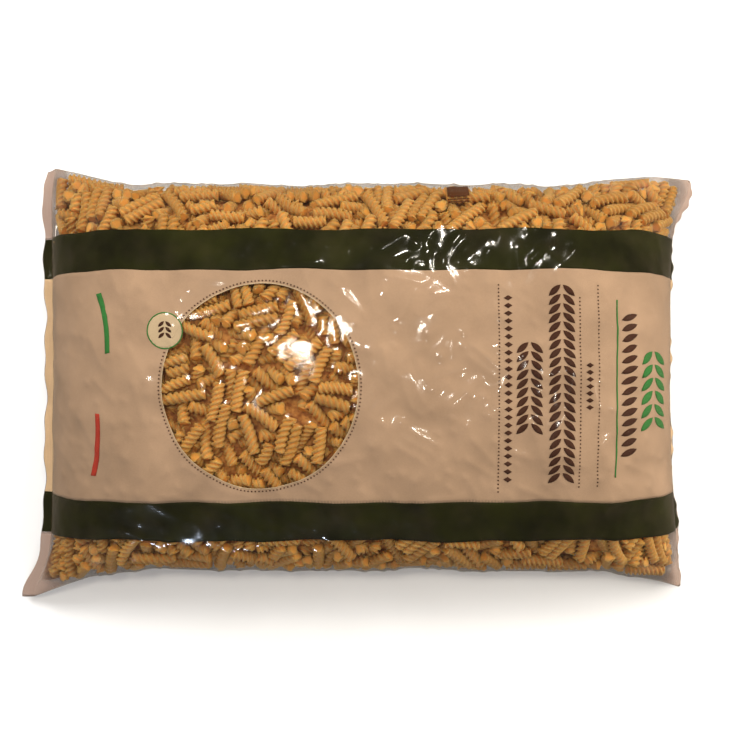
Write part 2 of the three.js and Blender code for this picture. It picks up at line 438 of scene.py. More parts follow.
def scatter(room, count):
    """Random segments in the layer under the film, and their lengths."""
    spots = np.empty((0, 3))
    high = room.low + (room.shape - 1) * room.CELL
    while len(spots) < count:
        tried = rng.uniform(room.low, high, (SPOTS_TRIED, 3))
        depth = -room.look(tried)[0]
        spots = np.concatenate([spots, tried[(depth > SPIRAL_RADIUS) & (depth < LAYER_DEPTH)]])
    spots = spots[:count]
    short = rng.random(count) < SHORT_SHARE
    length = np.where(short, rng.uniform(*SHORT_LENGTHS, count), rng.uniform(*SPIRAL_LENGTHS, count))
    way = rng.normal(size=(count, 3))
    outward = room.look(spots)[1]
    way -= FLAT_LEAN * dot(way, outward)[:, None] * outward
    way *= (length / 2 / np.linalg.norm(way, axis=1))[:, None]
    return spots - way, spots + way, length


def push_apart(a, b, first, second):
    """Move overlapping spirals apart, in place."""
    s, t, gap = closest_on_pairs(a, b, first, second)
    size = np.maximum(np.linalg.norm(gap, axis=1), 1e-3)
    touch = size < PACKED_GAP
    push = gap[touch] * (PUSH_SHARE * (PACKED_GAP - size[touch]) / size[touch])[:, None]
    s, t = s[touch][:, None], t[touch][:, None]
    i, j = first[touch], second[touch]
    np.add.at(a, i, push * (1 - s))
    np.add.at(b, i, push * s)
    np.add.at(a, j, -push * (1 - t))
    np.add.at(b, j, -push * t)


def pack_spirals(room):
    """The two ends of every spiral's axis: pushed apart, and held against the film."""
    a, b, length = scatter(room, SPIRALS)
    inner = length - SPIRAL_RADIUS
    for step in range(RELAX_STEPS):
        if step % PAIR_STEPS == 0:
            middle = (a + b) / 2
            first, second = np.triu_indices(len(a), 1)
            near = np.abs(middle[first] - middle[second]).max(axis=1)
            close = near < (length[first] + length[second]) / 2 + PACKED_GAP
            first, second = first[close], second[close]
        push_apart(a, b, first, second)
        draw = DRAWS_OUT[step >= RELAX_STEPS * LATE_FROM]
        for ends in (a, b):
            distance, outward = room.look(ends)
            move = np.clip(-distance - SPIRAL_RADIUS - WALL_GAP, -PULL_IN, draw)
            ends += outward * move[:, None]
        distance, outward = room.look((a + b) / 2)
        poking = np.maximum(distance + SPIRAL_RADIUS + WALL_GAP, 0)
        a -= outward * poking[:, None]
        b -= outward * poking[:, None]
        way = b - a
        stretch = inner / np.maximum(np.linalg.norm(way, axis=1), 1e-6) - 1
        a -= way * stretch[:, None] / 2
        b += way * stretch[:, None] / 2
    depths = [-room.look(spots)[0] for spots in (a, (a + b) / 2, b)]
    kept = np.min(depths, axis=0) > SPIRAL_RADIUS - KEPT_SLACK
    return a[kept], b[kept], inner[kept]


# The film draped over the spirals.

DRAPE_SAG = 3.0  # of the film where no spiral holds it up
COVER_RADIUS = 5.8  # of a spiral with its ends' corners
COVER_GAP = 0.8  # between the film and the spirals, for the print
NO_COVER = 99.0  # the depth where there is no spiral
SLACK_REACH = 12  # from a seal to where the film has its full slack
DRAPE_STEPS = 160
DRAPE_TENSION = 60.0
EAR_GAP = 6.0  # down to the spirals, where the film looks milky
EAR_REACH = 70.0
EAR_SOFTNESS = 4


def cover_depth(film, room, a, b):
    """The depth of the spirals' upper envelope under every point of the film."""
    cover = np.full(film.points.shape[:2], NO_COVER)
    rows, count = cover.shape
    reach = int((max(SPIRAL_LENGTHS) / 2 + SPIRAL_RADIUS) / BODY_STEP)
    for start, stop in zip(a, b):
        _, index, _ = room.tree.find((start + stop) / 2)
        i, j = divmod(index, count)
        window = np.ix_(
            np.arange(max(i - reach, 0), min(i + reach + 1, rows)),
            np.arange(j - reach, j + reach + 1) % count,
        )
        point, inward = film.points[window], -film.normals[window]
        way = stop - start
        share = np.clip((point + inward * COVER_RADIUS - start) @ way / (way @ way), 0, 1)
        to_axis = start + share[:, :, None] * way - point
        down = np.einsum("ijk,ijk->ij", to_axis, inward)
        aside = np.einsum("ijk,ijk->ij", to_axis, to_axis) - down**2
        hit = (aside < COVER_RADIUS**2) & (down > -COVER_RADIUS)
        top = down - np.sqrt(np.maximum(COVER_RADIUS**2 - aside, 0)) - COVER_GAP
        cover[window] = np.minimum(cover[window], np.where(hit, top, NO_COVER))
    return cover


def neighbour_sums(values):
    """The sums of every point's two neighbours, round the tube and along the bag."""
    ahead, behind = np.concatenate([values[1:], values[-1:]]), np.concatenate([values[:1], values[:-1]])
    return np.roll(values, 1, axis=1) + np.roll(values, -1, axis=1), ahead + behind


def milkiness(film, cover):
    """How milky the film looks, from 0 to 1: where its two layers meet, off the print."""
    inwards = HALF_BODY - np.abs(film.along)[:, None]
    off = np.abs(from_front(film.around, PRINT_MIDDLE))
    bare = (cover > DRAPE_SAG + EAR_GAP) & (inwards < EAR_REACH) | (inwards < 0)
    on_seam = np.abs(film.around - FLAT_WIDTH) <= SEAM_WIDTH / 2
    share = (bare | on_seam[None, :]).astype(float)
    for _ in range(EAR_SOFTNESS):
        share = (neighbour_sums(share)[0] + 2 * share) / 4
        share = (neighbour_sums(share)[1] + 2 * share) / 4
    return share * (off > PANEL_HALF + BAND_WIDTH)


def drape(film, cover):
    """How far every point of the film hangs in, over the spirals."""
    inwards = HALF_BODY - np.abs(film.along)[:, None]
    slack = DRAPE_SAG * np.clip(inwards / SLACK_REACH, 0, 1) * np.ones_like(cover)
    most = np.minimum(cover, slack)
    hang = most
    for _ in range(DRAPE_STEPS):
        mean = sum(neighbour_sums(hang)) / 4
        hang = np.minimum((mean * DRAPE_TENSION + slack) / (DRAPE_TENSION + 1), most)
    return hang


# Each crease: its start and its end in film coordinates, its height and its half width.
CREASES = (
    (30, 93, 60, 105, 0.9, 2.6), (42, 114, 47, 100, 0.6, 2.4), (80, 119, 61, 85, 0.9, 2.5),
    (147, 105, 131, 86, 0.9, 2.6), (181, 110, 158, 83, 1.0, 2.6), (172, 112, 184, 106, 0.6, 2.2),
    (199, 111, 183, 95, 0.6, 2.4), (196, 68, 206, 52, 0.6, 2.6), (185, -4, 196, -30, 0.5, 2.6),
    (-52, -6, -46, -24, 0.8, 3.0), (-78, 30, -66, 12, 0.6, 2.6), (-196, -128, -148, -150, 1.1, 3.0),
    (-160, -136, -146, -148, 0.8, 2.6), (-206, -112, -214, -125, 0.8, 2.6),
    (-118, -140, -104, -152, 0.9, 2.8), (-262, 62, -256, -40, 0.45, 4.5), (-246, 20, -241, -70, 0.4, 4.5),
    (-264, 88, -252, 122, 0.6, 3.5), (-264, -96, -250, -132, 0.6, 3.5), (262, 70, 252, 118, 0.6, 3.5),
    (262, -70, 250, -122, 0.6, 3.5), (44, 52, 52, 44, 0.4, 2.2), (70, 30, 64, 14, 0.4, 2.4),
    (96, 22, 108, 8, 0.4, 2.2), (84, -12, 98, -20, 0.35, 2.2), (204, 20, 210, -22, 0.5, 2.4),
    (186, 28, 192, 6, 0.4, 2.2), (-240, 150, -262, 172, 1.2, 3.5), (-236, -150, -266, -182, 1.4, 3.5),
    (-220, -165, -262, -178, 1.1, 3.5), (238, 152, 268, 180, 1.4, 3.5), (226, 166, 264, 176, 1.1, 3.5),
    (240, -150, 268, -182, 1.3, 3.5),
)
CREASE_FADE = 0.5  # of its height, by its end
CREASE_EDGE = 1.5  # how sharply it falls off
TAUT_SPOT = (-48, 11)  # where the film is stretched flat
TAUT_REACH = (18, 29)
TAUT_EDGE = 4  # how sharply the flat patch ends
LEAST_SHARE = 1e-3


def stretch_flat(form, depth):
    """The depth of the film under its smooth form, with the taut spot made flat."""
    along = (form.along[:, None] - TAUT_SPOT[0]) / TAUT_REACH[0]
    around = from_front(form.around, TAUT_SPOT[1])[None, :] / TAUT_REACH[1]
    share = np.exp(-(along**TAUT_EDGE) - around**TAUT_EDGE)
    centre, normal = form.at(TAUT_SPOT)
    flat = np.where(share > LEAST_SHARE, (form.points - centre) @ normal, 0)
    return depth + (flat - depth) * share


def crease_height(film):
    """The height of the creases at every point of the film."""
    height = np.zeros(film.points.shape[:2])
    along = film.along[:, None]
    around = from_front(film.around)[None, :]
    for *ends, rise, width in CREASES:
        start, way = ends[:2], np.subtract(ends[2:], ends[:2])
        share = (along - start[0]) * way[0] + (around - start[1]) * way[1]
        share = np.clip(share / (way @ way), 0, 1)
        off = np.hypot(along - start[0] - share * way[0], around - start[1] - share * way[1])
        profile = np.exp(-((off / width) ** CREASE_EDGE))
        height = np.maximum(height, rise * (1 - CREASE_FADE * share) * profile)
    return height


def make_film():
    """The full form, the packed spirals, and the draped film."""
    along, around = stations(), columns()
    form = Film(along, around, rest_on_floor(full_bag(along, around), around))
    room = Room(form)
    a, b, length = pack_spirals(room)
    cover = cover_depth(form, room, a, b)
    depth = stretch_flat(form, drape(form, cover)) - crease_height(form)
    points = form.points - form.normals * depth[:, :, None]
    points[:, :, 2] = np.maximum(points[:, :, 2], 0)
    return form, Film(along, around, points), milkiness(form, cover), room, (a, b, length)


# Making meshes.

def add_object(name, data):
    """A new object in the scene."""
    made = bpy.data.objects.new(name, data)
    bpy.context.scene.collection.objects.link(made)
    return made


def mesh_object(name, points, faces, material):
    """A mesh object from an array of points in millimetres."""
    mesh = bpy.data.meshes.new(name)
    mesh.from_pydata((points * MM).tolist(), [], faces)
    mesh.materials.append(material)
    return add_object(name, mesh)


def new_piece(name, points, faces, material):
    """A smooth piece. All of them together stand for the bag."""
    piece = mesh_object(name, points, faces, material)
    piece.data.validate()
    piece.data.shade_smooth()
    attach(piece, "root")
    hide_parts("bag")
    return piece


def grid_faces(rows, count):
    """Quads that join rings of points into a tube."""
    i, j = np.meshgrid(np.arange(rows - 1), np.arange(count), indexing="ij")
    a, b = i * count + j, i * count + (j + 1) % count
    return np.stack([a, a + count, b + count, b], axis=-1).reshape(-1, 4)


def zip_faces(first, around, end):
    """Triangles that shut an end ring, from one side fold to the other."""
    count = len(around)
    fold = int(np.searchsorted(around, FLAT_WIDTH / 2))
    steps = [(k + 1) // 2 * (1 if k % 2 else -1) for k in range(count)]
    ring = [first + (fold + step) % count for step in steps]
    faces = []
    for k, (a, b, c) in enumerate(zip(ring, ring[1:], ring[2:])):
        faces.append([b, a, c] if k % 2 else [a, b, c])
    return faces if end < 0 else [face[::-1] for face in faces]


def give_values(piece, name, values):
    """A value at every point of a piece, which its material reads."""
    piece.data.attributes.new(name, "FLOAT", "POINT").data.foreach_set("value", values)


def film_piece(film, milky, material):
    """The film as one closed skin, which knows where it is milky."""
    rows, count = film.points.shape[:2]
    faces = grid_faces(rows, count).tolist()
    faces += zip_faces(0, film.around, -1) + zip_faces((rows - 1) * count, film.around, 1)
    piece = new_piece("film", film.points.reshape(-1, 3), faces, material)
    give_values(piece, "milky", milky.ravel())


# Materials.

def colour(red, green, blue):
    """A linear colour from the 0 to 255 values that a screen shows."""
    shown = np.array([red, green, blue]) / 255
    linear = np.where(shown <= 0.04045, shown / 12.92, ((shown + 0.055) / 1.055) ** 2.4)
    return (*linear.tolist(), 1)


def scaled(shade, share):
    """A colour made darker or lighter."""
    return (*[value * share for value in shade[:3]], 1)


# Painted light on the pasta: the grooves are lighter than the ridges, to offset the shade in the grooves
# and the lamps' light on the ridges.
PASTA_RIDGE_PAINTED_DARKER = colour(195, 153, 87)
PASTA_GROOVE_PAINTED_LIGHTER = colour(238, 173, 86)
PASTA_GLOW = 4.0  # how far light spreads inside a spiral
PASTA_GLOW_SHARES = (1.0, 0.74, 0.42)  # of red, green and blue light
# The deeper pasta: a pasta colour, and patches of painted shade as between deeper spirals.
CORE_LIGHT = colour(206, 144, 72)
CORE_PAINTED_SHADE = colour(150, 90, 38)
FLOOR_SHADE = colour(226, 225, 223)

FILM_CLEAR = (0.93, 0.915, 0.895, 1)
FILM_HAZE = (colour(10, 8, 6), colour(52, 42, 34))
SEAL_HAZE = colour(154, 129, 114)
FILM_SHEEN = colour(255, 222, 188)
# How solid the film looks from straight on, from a slant, and where it is milky.
FILM_SOLID = ((0, 0.2), (0.8, 0.65))
SLANT_BLEND = 0.2
SEAL_SOLID = 0.76


def new_material(name, **settings):
    """A material, its node tree and its shader."""
    made = bpy.data.materials.new(name)
    made.use_nodes = True
    shader = made.node_tree.nodes["Principled BSDF"]
    for key, value in settings.items():
        shader.inputs[key.replace("_", " ")].default_value = value
    return made, made.node_tree, shader


def noise(tree, size, detail=3):
    """Noise whose features measure about a size in millimetres."""
    place = tree.nodes.new("ShaderNodeTexCoord")
    texture = tree.nodes.new("ShaderNodeTexNoise")
    texture.inputs["Scale"].default_value = 1 / (size * MM)
    texture.inputs["Detail"].default_value = detail
    tree.links.new(place.outputs["Object"], texture.inputs["Vector"])
    return texture.outputs["Fac"]


def ramp(tree, source, *stops):
    """Colours along a value: each stop is a value and its colour, or a number for a grey."""
    made = tree.nodes.new("ShaderNodeValToRGB")
    for element, (place, shade) in zip(made.color_ramp.elements, stops):
        element.position = place
        element.color = shade if isinstance(shade, tuple) else (shade, shade, shade, 1)
    tree.links.new(source, made.inputs["Fac"])
    return made.outputs["Color"]


def blend(tree, kind, share, first, second):
    """Two colours blended. Each input is a colour or an output."""
    made = tree.nodes.new("ShaderNodeMix")
    made.data_type = "RGBA"
    made.blend_type = kind
    sockets = [made.inputs[0], *[s for s in made.inputs if s.type == "RGBA"]]
    for socket, value in zip(sockets, (share, first, second)):
        if isinstance(value, bpy.types.NodeSocket):
            tree.links.new(value, socket)
        else:
            socket.default_value = value
    return [s for s in made.outputs if s.type == "RGBA"][0]


def bump(tree, shader, source, height):
    """Relief of a height in millimetres."""
    made = tree.nodes.new("ShaderNodeBump")
    made.inputs["Distance"].default_value = height * MM
    tree.links.new(source, made.inputs["Height"])
    tree.links.new(made.outputs["Normal"], shader.inputs["Normal"])


def film_material():
    """Clear gloss: milky in places, and finely crinkled."""
    made, tree, shader = new_material("film", IOR=1.8, Sheen_Weight=0.1, Sheen_Roughness=0.5)
    shader.inputs["Sheen Tint"].default_value = FILM_SHEEN
    haze = ramp(tree, noise(tree, size=26), (0.45, FILM_HAZE[0]), (0.75, FILM_HAZE[1]))
    milky = attribute(tree, "milky")
    tree.links.new(blend(tree, "MIX", milky, haze, SEAL_HAZE), shader.inputs["Base Color"])
    rough = ramp(tree, noise(tree, size=9, detail=2), (0.3, 0.05), (0.7, 0.13))
    tree.links.new(rough, shader.inputs["Roughness"])
    bump(tree, shader, noise(tree, size=3.2), height=0.03)
    clear = tree.nodes.new("ShaderNodeBsdfTransparent")
    clear.inputs["Color"].default_value = FILM_CLEAR
    slant = tree.nodes.new("ShaderNodeLayerWeight")
    slant.inputs["Blend"].default_value = SLANT_BLEND
    solid = ramp(tree, slant.outputs["Facing"], *FILM_SOLID)
    sealed = ramp(tree, milky, (0, 0), (1, SEAL_SOLID))
    mix = tree.nodes.new("ShaderNodeMixShader")
    tree.links.new(blend(tree, "LIGHTEN", 1.0, solid, sealed), mix.inputs["Fac"])
    tree.links.new(clear.outputs[0], mix.inputs[1])
    tree.links.new(shader.outputs[0], mix.inputs[2])
    tree.links.new(mix.outputs[0], tree.nodes["Material Output"].inputs["Surface"])
    return made


def ink(name, shade, spread):
    """Printed ink: slow drifts of tone, and a fine grain. A wide drift, as on the bands, is painted shade
    and painted reflection.
    """
    made, tree, shader = new_material(name, Roughness=0.5, Specular_IOR_Level=0.1)
    pale, deep = scaled(shade, 1 + spread), scaled(shade, 1 - spread)
    drift = ramp(tree, noise(tree, size=34), (0.3, deep), (0.7, pale))
    fine = ramp(tree, noise(tree, size=1.2, detail=2), (0.3, 0.93), (0.7, 1))
    tree.links.new(blend(tree, "MULTIPLY", 1.0, drift, fine), shader.inputs["Base Color"])
    return made


def attribute(tree, name):
    """The value that a piece has at every point."""
    made = tree.nodes.new("ShaderNodeAttribute")
    made.attribute_name = name
    return made.outputs["Fac"]


def pasta_material():
    """Dry pasta: paler ridges and deeper-coloured grooves, with painted light that makes the grooves
    lighter than the ridges to offset their shade; no two spirals quite alike.
    """
    made, tree, shader = new_material("pasta", Roughness=0.6, Subsurface_Weight=0.7)
    shader.inputs["Subsurface Radius"].default_value = PASTA_GLOW_SHARES
    shader.inputs["Subsurface Scale"].default_value = PASTA_GLOW * MM
    # Painted light: duller on the ridges, lighter in the grooves.
    flank_painted_light = ramp(tree, attribute(tree, "ridge"), (0.1, PASTA_GROOVE_PAINTED_LIGHTER), (0.9, PASTA_RIDGE_PAINTED_DARKER))
    tone = ramp(tree, attribute(tree, "tone"), (0, (0.84, 0.8, 0.72, 1)), (1, 1.06))
    speck = ramp(tree, noise(tree, size=0.9), (0.3, (0.92, 0.9, 0.86, 1)), (0.7, 1.04))
    both = blend(tree, "MULTIPLY", 1.0, flank_painted_light, tone)
    tree.links.new(blend(tree, "MULTIPLY", 1.0, both, speck), shader.inputs["Base Color"])
    bump(tree, shader, noise(tree, size=0.6), height=0.05)
    return made


def core_material():
    """Pasta colour broken with patches of painted shade, as deep between the spirals."""
    made, tree, shader = new_material("pasta_core", Roughness=0.7)
    pasta_and_painted_shade = ramp(tree, noise(tree, size=6, detail=4), (0.4, CORE_PAINTED_SHADE), (0.6, CORE_LIGHT))
    tree.links.new(pasta_and_painted_shade, shader.inputs["Base Color"])
    bump(tree, shader, noise(tree, size=5, detail=2), height=2.0)
    return made


# The print: outlines in film coordinates, which become thin closed solids under the film.

def inside(loops, points):
    """Which points lie within the outer loop and outside the others, by the even-odd rule."""
    result = np.zeros(len(points), bool)
    for loop in loops:
        for (x0, y0), (x1, y1) in zip(loop, np.roll(loop, -1, axis=0)):
            spans = (points[:, 1] < y0) != (points[:, 1] < y1)
            x, y = points[spans].T
            result[spans] ^= x < x0 + (y - y0) * (x1 - x0) / (y1 - y0)
    return result


def box_loop(low, high):
    """A rectangle with points no further apart than the film's own grid."""
    corners = np.array([low, (high[0], low[1]), high, (low[0], high[1])], float)
    loop = []
    for start, stop in zip(corners, np.roll(corners, -1, axis=0)):
        pieces = max(int(np.ceil(np.hypot(*(stop - start)) / BODY_STEP)), 1)
        loop += [start + (stop - start) * k / pieces for k in range(pieces)]
    return np.array(loop)


def oval(centre, radii, count):
    """A closed oval of a number of points."""
    angle = TURN * np.arange(count) / count
    return np.stack([radii[0] * np.cos(angle), radii[1] * np.sin(angle)], axis=1) + centre


def bar(start, stop, width, bow=0.0):
    """A strip with square ends along a slightly bowed line."""
    way = np.subtract(stop, start)
    reach = np.hypot(*way)
    across = np.array([-way[1], way[0]]) / reach
    share = np.linspace(0, 1, max(int(reach / BODY_STEP), 1) + 1)[:, None]
    line = way * share + start + across * bow * np.sin(math.pi * share)
    return np.concatenate([line + across * width / 2, (line - across * width / 2)[::-1]])


def grain(centre, angle, length, width):
    """A seed shape, pointed at both ends."""
    share = np.linspace(0, 1, GRAIN_POINTS)
    half = width / 2 * np.sin(math.pi * share) ** GRAIN_FULLNESS
    lengthways = length * (share - 0.5)
    left, right = np.stack([lengthways, half], axis=1), np.stack([lengthways, -half], axis=1)
    turned = np.array([[math.cos(angle), math.sin(angle)], [-math.sin(angle), math.cos(angle)]])
    return np.concatenate([left, right[-2:0:-1]]) @ turned + centre


def ear_of_grain(start, stop, length, width, pitch):
    """Pairs of grains that lean outwards all along a line."""
    way = np.subtract(stop, start)
    reach, heading = np.hypot(*way), math.atan2(way[1], way[0])
    grains = []
    for k in range(int(reach / pitch)):
        foot = way * (k + GRAIN_FOOT) * pitch / reach + start
        for side in (-1, 1):
            lean = heading + side * GRAIN_LEAN
            centre = foot + GRAIN_REACH * length * np.array([math.cos(lean), math.sin(lean)])
            grains.append(grain(centre, lean, length, width))
    return grains


def region_faces(film, loops):
    """Flat points and triangles that fill a region, on the film's own grid inside it."""
    edge_points = np.concatenate(loops)
    low, high = edge_points.min(axis=0), edge_points.max(axis=0)
    along = film.along[(film.along > low[0]) & (film.along < high[0])]
    front = np.sort(from_front(film.around))
    around = front[(front > low[1]) & (front < high[1])]
    grid = np.stack(np.meshgrid(along, around, indexing="ij"), axis=-1).reshape(-1, 2)
    grid = grid[inside(loops, grid)]
    tree = search_tree(np.pad(edge_points, ((0, 0), (0, 1))))
    grid = grid[[tree.find((*point, 0))[2] > GRID_GAP for point in grid]]
    edges, start = [], 0
    for loop in loops:
        count = len(loop)
        edges += [(start + k, start + (k + 1) % count) for k in range(count)]
        start += count
    spots = [Vector(point) for point in np.concatenate([edge_points, grid])]
    vertices, _, faces, *_ = delaunay_2d_cdt(spots, edges, [], TRIANGLES, MERGED_GAP)
    points = np.array([tuple(vertex) for vertex in vertices])
    faces = np.array([face for face in faces if len(face) == 3])
    faces = faces[inside(loops, points[faces].mean(axis=1))]
    a, b, c = (points[faces[:, k]] for k in range(3))
    turned = (b[:, 0] - a[:, 0]) * (c[:, 1] - a[:, 1]) < (b[:, 1] - a[:, 1]) * (c[:, 0] - a[:, 0])
    faces[turned] = faces[turned][:, ::-1]
    return points, faces


def print_piece(film, name, marks):
    """One piece of many marks, each a thin closed solid that follows the film."""
    depth, shade, spread = PRINTS[name]
    points, faces, start = [], [], 0
    for loops in marks:
        flat, triangles = region_faces(film, loops)
        count = len(flat)
        points += [film.place(*flat.T, depth), film.place(*flat.T, depth + PRINT_THICKNESS)]
        sides = {(a, b) for t in triangles.tolist() for a, b in zip(t, t[1:] + t[:1])}
        rim = sorted((a, b) for a, b in sides if (b, a) not in sides)
        walls = [[start + b, start + a, start + a + count, start + b + count] for a, b in rim]
        faces += (triangles + start).tolist()
        faces += (triangles[:, ::-1] + start + count).tolist() + walls
        start += 2 * count
    new_piece(name, np.concatenate(points), faces, ink(name, colour(*shade), spread))


def dots(spots):
    """A small round mark at each spot."""
    return [[oval(spot, (DOT_RADIUS, DOT_RADIUS), DOT_POINTS)] for spot in spots]


def ring_of_dots():
    """The dots round the window, but for those that the badge covers."""
    radii = np.array(WINDOW_RADII) + RING_GAP
    spots = oval((WINDOW_ALONG, PRINT_MIDDLE), radii, int(TURN * radii.mean() / DOT_PITCH))
    away = np.hypot(*(spots - BADGE_CENTRE).T)
    return dots(spots[away > BADGE_RADIUS + 2 * DOT_RADIUS])


def window_loop(wider=0.0):
    """The window's outline, or one that lies a distance outside it."""
    return oval((WINDOW_ALONG, PRINT_MIDDLE), np.array(WINDOW_RADII) + wider, WINDOW_POINTS)


def band(side):
    """A band from one fin's edge to the other's."""
    near = PRINT_MIDDLE + side * PANEL_HALF
    far = near + side * BAND_WIDTH
    return box_loop((-FIN_REACH, min(near, far)), (FIN_REACH, max(near, far)))


def brown_marks():
    """The brown ornament, the ring of dots and the dotted rules."""
    loops = [loop for ear in BROWN_EARS for loop in ear_of_grain(*ear)]
    for along, start, stop, radii, pitch in DIAMOND_ROWS:
        loops += [oval((along, around), radii, 4) for around in np.arange(start, stop, pitch)]
    along, places, slant, size = GRAIN_ROW
    loops += [grain((along, around), slant, *size) for around in np.arange(*places)]
    marks = [[loop] for loop in loops] + ring_of_dots()
    for along, start, stop in DOTTED_RULES:
        marks += dots([(along, around) for around in np.arange(start, stop, DOT_PITCH)])
    return marks


def field_pieces(film):
    """The beige field, with its ends on the fins, and the two bands."""
    low, high = PRINT_MIDDLE - PANEL_HALF, PRINT_MIDDLE + PANEL_HALF
    left_end = box_loop((-FIN_REACH, low), (-HALF_BODY, high))
    right_end = box_loop((HALF_BODY, low), (FIN_REACH, high))
    print_piece(film, "panel", [[box_loop((-HALF_BODY, low), (HALF_BODY, high)), window_loop()]])
    print_piece(film, "panel_ends", [[left_end], [right_end]])
    print_piece(film, "band_upper", [[band(1)]])
    print_piece(film, "band_lower", [[band(-1)]])


def mark_pieces(film):
    """The marks that lie on the fields, and the block on the clear upper side."""
    badge = oval(BADGE_CENTRE, (BADGE_RADIUS, BADGE_RADIUS), BADGE_POINTS)
    inner = oval(BADGE_CENTRE, (BADGE_RADIUS - BADGE_RING,) * 2, BADGE_POINTS)
    greens = [[badge, inner], [bar(*GREEN_RULE, GREEN_RULE_WIDTH)], [bar(*GREEN_BAR, BAR_WIDTH, BAR_BOW)]]
    greens += [[loop] for ear in GREEN_EARS for loop in ear_of_grain(*ear)]
    print_piece(film, "pale_marks", [[window_loop(RIM_WIDTH), window_loop()], [badge]])
    print_piece(film, "green_marks", greens)
    print_piece(film, "red_mark", [[bar(*RED_BAR, BAR_WIDTH, BAR_BOW)]])
    print_piece(film, "brown_marks", brown_marks())

    (left, near), (right, far) = SIDE_BLOCK
    side = [[box_loop((left, near), (right, far))]]
    side += [[bar((left, around), (right, around), SIDE_LINE_WIDTH)] for around in SIDE_LINES]
    print_piece(film, "side_block", side)


# The spirals' meshes.

# One blade of a section: each point's angle, share of the radius and share of ridge.
FINE_BLADE = ((-0.42, 0.95, 1), (0, 1.0, 1), (0.42, 0.95, 1), (TURN / 6, 0.64, 0))
PLAIN_BLADE = ((-0.38, 1.0, 1), (0.38, 1.0, 1), (TURN / 6, 0.62, 0))
LEAD_SPREAD, RADIUS_SPREAD = (0.9, 1.12), (0.92, 1.03)
SPIRAL_MARGIN = 22  # how far spirals go on under the print
UNDERSIDE_FROM = 250  # from the middle of the front
CORE_STEP = 6  # of the film's grid
CORE_SHARES = (0.93, 0.91, 0.78)  # of the bag's length, width and height
CORE_LEVEL = 0.48  # of the height: the core's middle


def blade_section(points):
    """Angles, radii and ridge shares round a section with three thick blades."""
    angles, radii, ridges = np.array(points).T
    blades = TURN / 3 * np.arange(3)[:, None]
    return (blades + angles).ravel(), np.tile(radii, 3), np.tile(ridges, 3)


def spiral_faces(count, rings, around):
    """The sides and the two ends of every spiral, all facing outwards."""
    each = rings * around
    sides = grid_faces(rings, around)[:, [0, 3, 2, 1]]
    sides = (sides[None] + (np.arange(count) * each)[:, None, None]).reshape(-1, 4).tolist()
    caps = []
    for start in range(0, count * each, each):
        caps.append(list(range(start + around - 1, start - 1, -1)))
        caps.append(list(range(start + each - around, start + each)))
    return sides + caps


def spiral_mesh(a, b, length, outward, section, steps_a_lead):
    """Points, faces, ridge shares and tones of spirals that bend along the film."""
    angles, radii, ridges = blade_section(section)
    count, around = len(a), len(angles)
    rings = int(max(SPIRAL_LENGTHS) / SPIRAL_LEAD * steps_a_lead) + 1
    share = np.linspace(-0.5, 0.5, rings)
    axis = (b - a) / np.linalg.norm(b - a, axis=1, keepdims=True)
    u = np.cross(axis, outward)
    u /= np.linalg.norm(u, axis=1, keepdims=True)
    w = np.cross(axis, u)
    travel = (length + 2 * CUT_REACH)[:, None] * share
    lead = SPIRAL_LEAD * rng.uniform(*LEAD_SPREAD, count)
    turn = TURN * travel / lead[:, None] + rng.uniform(0, TURN, count)[:, None]
    radius = SPIRAL_RADIUS * rng.uniform(*RADIUS_SPREAD, count)
    bend = rng.uniform(0, MOST_BEND, count)[:, None] * (4 * share**2 - 1 / 3)
    spin = turn[:, :, None] + angles
    reach = radius[:, None, None] * radii
    first = (reach * np.cos(spin) + bend[:, :, None])[..., None] * u[:, None, None]
    second = (reach * np.sin(spin))[..., None] * w[:, None, None]
    centre = ((a + b) / 2)[:, None, None] + travel[:, :, None, None] * axis[:, None, None]
    points = centre + first + second
    lift = np.maximum(LEAST_HEIGHT - points[..., 2].min(axis=(1, 2)), 0)
    points[..., 2] += lift[:, None, None]
    tone = np.repeat(rng.uniform(0, 1, count), rings * around)
    faces = spiral_faces(count, rings, around)
    return points.reshape(-1, 3), faces, np.tile(ridges, count * rings), tone


def spiral_pieces(form, room, spirals, pasta):
    """The spirals that the clear film shows, in a piece for each region."""
    a, b, length = spirals
    outward = room.look((a + b) / 2)[1]
    i, j = np.divmod([room.tree.find(middle)[1] for middle in (a + b) / 2], len(form.around))
    along, around = form.along[i], from_front(form.around[j])
    off = around - PRINT_MIDDLE
    reach = np.array(WINDOW_RADII) + SPIRAL_MARGIN
    window = np.hypot((along - WINDOW_ALONG) / reach[0], off / reach[1]) < 1
    edge = PANEL_HALF + BAND_WIDTH - SPIRAL_MARGIN
    under = np.abs(around) > UNDERSIDE_FROM
    # Each piece's name, spirals, section and steps a lead.
    for name, chosen, section, steps_a_lead in (
        ("spirals_window", window, FINE_BLADE, 10),
        ("spirals_upper_side", (off > edge) & ~under, PLAIN_BLADE, 8),
        ("spirals_lower_side", (off < -edge) & ~under, PLAIN_BLADE, 8),
        ("spirals_underside_left", under & (along < 0), PLAIN_BLADE, 5),
        ("spirals_underside_right", under & (along >= 0), PLAIN_BLADE, 5),
    ):
        packed = [values[chosen] for values in (a, b, length, outward)]
        points, faces, ridge, tone = spiral_mesh(*packed, section, steps_a_lead)
        piece = new_piece(name, points, faces, pasta)
        piece.data.polygons.foreach_set("use_smooth", [len(face) == 4 for face in faces])
        give_values(piece, "ridge", ridge)
        give_values(piece, "tone", tone)


